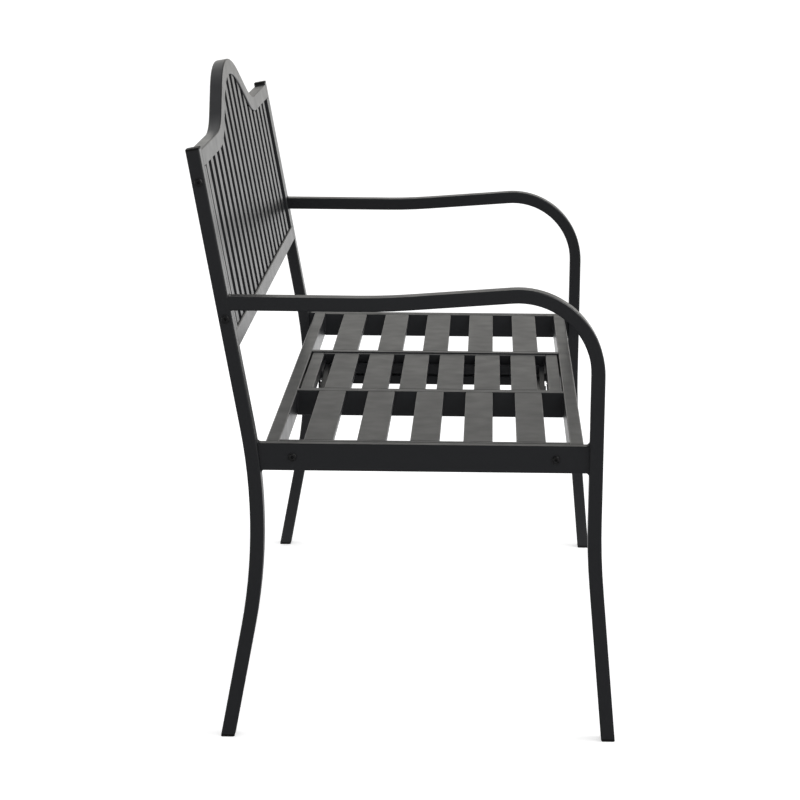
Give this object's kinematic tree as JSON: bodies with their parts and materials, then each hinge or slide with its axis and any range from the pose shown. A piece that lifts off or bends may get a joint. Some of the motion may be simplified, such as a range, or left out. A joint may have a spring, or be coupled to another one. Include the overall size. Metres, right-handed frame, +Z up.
{
  "type": "garden bench with table",
  "caption": "Black steel-tube garden bench with slatted seat and arched slatted back; the middle of the seat is a slatted table that lifts on a scissor frame.",
  "frame": {"origin": "on the floor, under the middle of the bench's bounding box", "axes": "+X to the sitter's left along the bench, -Y to the front, +Z up"},
  "size_m": [1.2772, 0.6431, 0.9539],
  "materials": {
    "frame_coat": "satin black powder coat",
    "plug_plastic": "moulded black plastic",
    "bolt_black": "black oxide, slightly glossy",
    "plated_steel": "zinc plated"
  },
  "bodies": {
    "frame": {"back_bottom_rail": "frame_coat", "back_slats": "frame_coat", "back_stile_left": "frame_coat", "back_stile_right": "frame_coat", "back_top_rail": "frame_coat", "foot_plug_front_left": "plug_plastic", "foot_plug_front_right": "plug_plastic", "foot_plug_rear_left": "plug_plastic", "foot_plug_rear_right": "plug_plastic", "frame_bolts": "bolt_black", "front_leg_armrest_left": "frame_coat", "front_leg_armrest_right": "frame_coat", "post_caps": "plug_plastic", "rear_leg_left": "frame_coat", "rear_leg_right": "frame_coat", "seat_channels": "frame_coat", "seat_divider_left": "frame_coat", "seat_divider_right": "frame_coat", "seat_end_rail_left": "frame_coat", "seat_end_rail_right": "frame_coat", "seat_front_rail": "frame_coat", "seat_pivot_brackets": "frame_coat", "seat_rear_rail": "frame_coat", "seat_slat_left_1": "frame_coat", "seat_slat_left_2": "frame_coat", "seat_slat_left_3": "frame_coat", "seat_slat_left_4": "frame_coat", "seat_slat_left_5": "frame_coat", "seat_slat_right_1": "frame_coat", "seat_slat_right_2": "frame_coat", "seat_slat_right_3": "frame_coat", "seat_slat_right_4": "frame_coat", "seat_slat_right_5": "frame_coat", "side_rail_left": "frame_coat", "side_rail_right": "frame_coat", "side_rail_welds": "frame_coat", "table_rest_tabs": "frame_coat", "threaded_inserts": "plated_steel"},
    "outer_lift_frame": {"outer_arm_front": "frame_coat", "outer_arm_rear": "frame_coat", "outer_crossbar": "frame_coat", "outer_pivot_rod": "plated_steel", "centre_pins": "plated_steel"},
    "inner_lift_frame": {"inner_arm_front": "frame_coat", "inner_arm_rear": "frame_coat", "inner_crossbar": "frame_coat", "inner_pivot_rod": "plated_steel"},
    "table": {"table_channels": "frame_coat", "table_end_rail_left": "frame_coat", "table_end_rail_right": "frame_coat", "table_front_rail": "frame_coat", "table_pivot_brackets": "frame_coat", "table_rear_rail": "frame_coat", "table_slat_1": "frame_coat", "table_slat_2": "frame_coat", "table_slat_3": "frame_coat", "table_slat_4": "frame_coat", "table_slat_5": "frame_coat", "table_slat_6": "frame_coat"}
  },
  "joints": [
    {"name": "outer_lift", "type": "hinge", "parent": "frame", "child": "outer_lift_frame", "pos_m": [-0.148, -0.0374, 0.4035], "axis": [0, -1, 0], "range_deg": [0, 38]},
    {"name": "inner_lift", "type": "hinge", "parent": "outer_lift_frame", "child": "inner_lift_frame", "pos_m": [0, -0.0374, 0.41125], "axis": [0, -1, 0], "range_deg": [-76, 0]},
    {"name": "table_level", "type": "hinge", "parent": "inner_lift_frame", "child": "table", "pos_m": [-0.148, -0.0374, 0.419], "axis": [0, -1, 0], "range_deg": [0, 38]}
  ],
  "couplings": [
    {"joint": "inner_lift", "follows": "outer_lift", "ratio": -2},
    {"joint": "table_level", "follows": "outer_lift", "ratio": 1}
  ]
}
